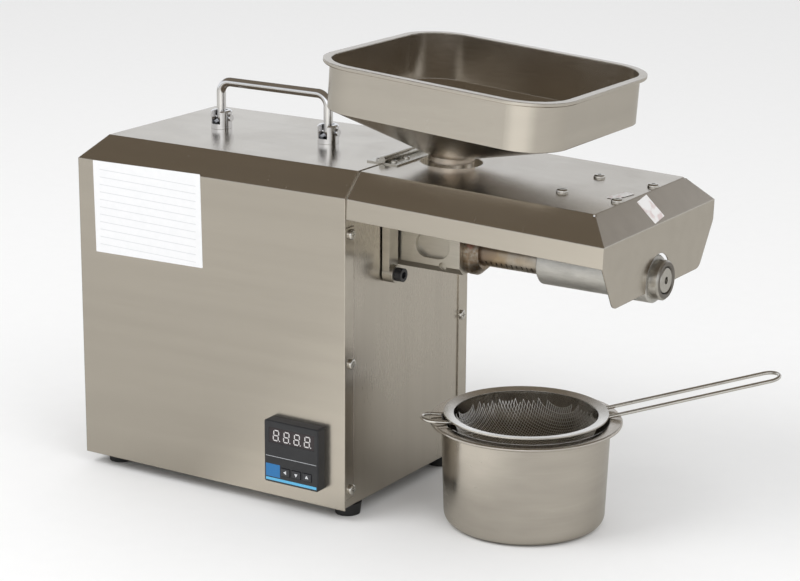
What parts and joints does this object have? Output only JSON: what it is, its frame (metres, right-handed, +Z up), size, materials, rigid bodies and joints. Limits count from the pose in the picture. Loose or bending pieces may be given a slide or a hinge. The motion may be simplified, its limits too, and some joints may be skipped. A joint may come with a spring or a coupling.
{
  "type": "screw oil press",
  "caption": "Home screw oil press in brushed stainless steel: cased motor with carry handle and temperature controller, hinged cover over the barrel, hopper, pot and strainer.",
  "frame": {"origin": "on the table, in the middle of the four feet", "axes": "+X towards the nose of the barrel, -Y towards the operator and the controller, +Z up"},
  "size_m": [0.5019, 0.2151, 0.3402],
  "materials": {
    "casing_steel": "brushed",
    "plain_steel": "plain",
    "screw_steel": "bright",
    "foot_rubber": "matt",
    "handle_chrome": "polished",
    "controller_black": "fine grain",
    "display_window": "smoked",
    "key_black": "satin",
    "switch_black": "satin",
    "contact_brass": "bright",
    "rocker_red": "gloss",
    "rocker_black": "gloss",
    "cast_alloy": "as cast",
    "gear_steel": "machined",
    "motor_paint": "satin",
    "fan_plastic": "satin",
    "capacitor_can": "drawn",
    "board_green": "satin",
    "block_steel": "machined",
    "black_steel": "black oxide",
    "tinted_steel": "heat tinted",
    "cage_steel": "turned",
    "sleeve_metal": "matt brushed",
    "nut_steel": "turned",
    "auger_steel": "turned",
    "hinge_steel": "rolled",
    "hopper_steel": "satin",
    "pot_steel": "satin",
    "wire_steel": "bright",
    "mesh_steel": "woven"
  },
  "bodies": {
    "press": {"casing_shell": "casing_steel", "front_panel": "casing_steel", "base_pan": "plain_steel", "casing_screws": "screw_steel", "foot_screws": "screw_steel", "hinge_casing_screws": "screw_steel", "inlet_screws": "screw_steel", "rubber_feet": "foot_rubber", "handle_cups": "handle_chrome", "handle_pins": "handle_chrome", "controller_bezel": "controller_black", "controller_clip": "controller_black", "controller_window": "display_window", "power_inlet": "switch_black", "switch_housings": "switch_black", "inlet_pins": "contact_brass", "gearbox_case": "cast_alloy", "gearbox_lid": "cast_alloy", "motor_bells": "cast_alloy", "motor_body": "motor_paint", "capacitor": "capacitor_can", "power_board": "board_green", "board_posts": "screw_steel", "feed_block": "block_steel", "seat_studs": "screw_steel", "clamp_yoke": "block_steel", "clamp_screws": "black_steel", "lock_collar": "tinted_steel", "press_cage": "cage_steel", "heater_sleeve": "sleeve_metal", "end_nut": "nut_steel", "hinge_casing_leaf": "hinge_steel", "hinge_pin": "hinge_steel"},
    "handle": {"carry_handle": "handle_chrome"},
    "left_key": {"key_left": "key_black"},
    "down_key": {"key_down": "key_black"},
    "up_key": {"key_up": "key_black"},
    "power_switch": {"power_rocker": "rocker_red"},
    "direction_switch": {"direction_rocker": "rocker_black"},
    "drive_screw": {"output_shaft": "gear_steel", "output_gear": "gear_steel", "press_screw": "auger_steel"},
    "layshaft": {"layshaft_gears": "gear_steel"},
    "rotor": {"motor_rotor": "gear_steel", "cooling_fan": "fan_plastic"},
    "cover": {"top_cover": "casing_steel", "hinge_cover_leaf": "hinge_steel", "hinge_cover_screws": "screw_steel", "cover_screws": "screw_steel", "cover_stay": "plain_steel", "cover_nuts": "screw_steel"},
    "hopper_body": {"hopper": "hopper_steel"},
    "pot_body": {"pot": "pot_steel"},
    "strainer": {"strainer_rim": "wire_steel", "strainer_bowl": "mesh_steel", "strainer_handle": "wire_steel", "strainer_loop": "wire_steel"}
  },
  "joints": [
    {"name": "cover_hinge", "type": "hinge", "parent": "press", "child": "cover", "pos_m": [0.1191, 0, 0.2637], "axis": [0, -1, 0], "range_deg": [0, 100]},
    {"name": "hopper_lift", "type": "slide", "parent": "press", "child": "hopper_body", "axis": [0, 0, 1], "range_m": [0, 0.36]},
    {"name": "handle_fold", "type": "hinge", "parent": "press", "child": "handle", "pos_m": [-0.0035, 0, 0.2696], "axis": [1, 0, 0], "range_deg": [0, 90]},
    {"name": "key_left_press", "type": "slide", "parent": "press", "child": "left_key", "axis": [0, 1, 0], "range_m": [0, 0.0006], "stiffness_N_per_m": 900, "springref_m": -0.0002},
    {"name": "key_down_press", "type": "slide", "parent": "press", "child": "down_key", "axis": [0, 1, 0], "range_m": [0, 0.0006], "stiffness_N_per_m": 900, "springref_m": -0.0002},
    {"name": "key_up_press", "type": "slide", "parent": "press", "child": "up_key", "axis": [0, 1, 0], "range_m": [0, 0.0006], "stiffness_N_per_m": 900, "springref_m": -0.0002},
    {"name": "power_rock", "type": "hinge", "parent": "press", "child": "power_switch", "pos_m": [-0.123, -0.008, 0.043], "axis": [0, 1, 0], "range_deg": [-16, 0]},
    {"name": "direction_rock", "type": "hinge", "parent": "press", "child": "direction_switch", "pos_m": [-0.123, -0.042, 0.043], "axis": [0, 1, 0], "range_deg": [-8, 8]},
    {"name": "screw_spin", "type": "hinge", "parent": "press", "child": "drive_screw", "pos_m": [0.2, 0, 0.197], "axis": [1, 0, 0], "continuous": true},
    {"name": "layshaft_spin", "type": "hinge", "parent": "press", "child": "layshaft", "pos_m": [0.09, 0, 0.152], "axis": [1, 0, 0], "continuous": true},
    {"name": "rotor_spin", "type": "hinge", "parent": "press", "child": "rotor", "pos_m": [0.02, 0, 0.117], "axis": [1, 0, 0], "continuous": true},
    {"name": "pot_slide", "type": "slide", "parent": "press", "child": "pot_body", "axis": [0, -1, 0], "range_m": [0, 0.25]},
    {"name": "strainer_lift", "type": "slide", "parent": "pot_body", "child": "strainer", "axis": [0, 0, 1], "range_m": [0, 0.06]}
  ],
  "couplings": [
    {"joint": "hopper_lift", "follows": "cover_hinge", "m_per_rad": 0.2},
    {"joint": "layshaft_spin", "follows": "screw_spin", "ratio": -3.9121},
    {"joint": "rotor_spin", "follows": "screw_spin", "ratio": 23.238}
  ]
}
